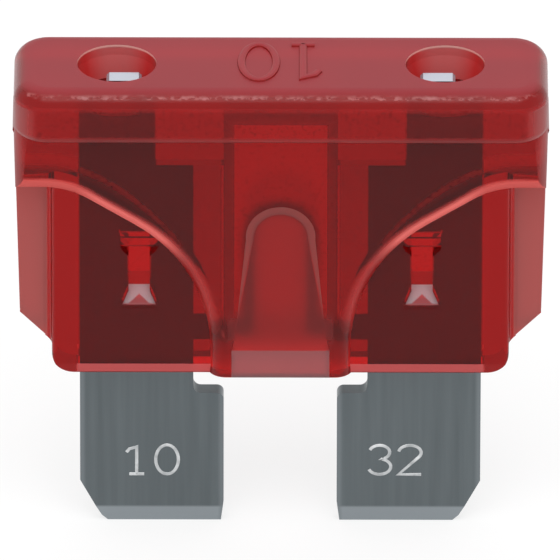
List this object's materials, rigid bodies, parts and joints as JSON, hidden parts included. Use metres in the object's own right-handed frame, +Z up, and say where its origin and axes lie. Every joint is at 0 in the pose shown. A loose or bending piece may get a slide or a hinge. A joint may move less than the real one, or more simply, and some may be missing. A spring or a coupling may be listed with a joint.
{
  "type": "automotive blade fuse",
  "caption": "Regular-size plug-in blade fuse with a transparent red moulded housing, flat zinc blades and probe openings on top.",
  "frame": {"origin": "centre of the housing's lower face, which seats on the holder", "axes": "+Z up out of the holder, +X along the row of the two blades, -Y toward the viewer of the picture"},
  "size_m": [0.0192, 0.0052, 0.0186],
  "materials": {
    "red_plastic": "transparent red moulded plastic, glossy faces with finely matt ledges",
    "zinc": "dull rolled zinc strip with faint lengthwise grain"
  },
  "bodies": {
    "root": {"housing": "red_plastic", "fuse_element": "zinc"}
  },
  "joints": []
}
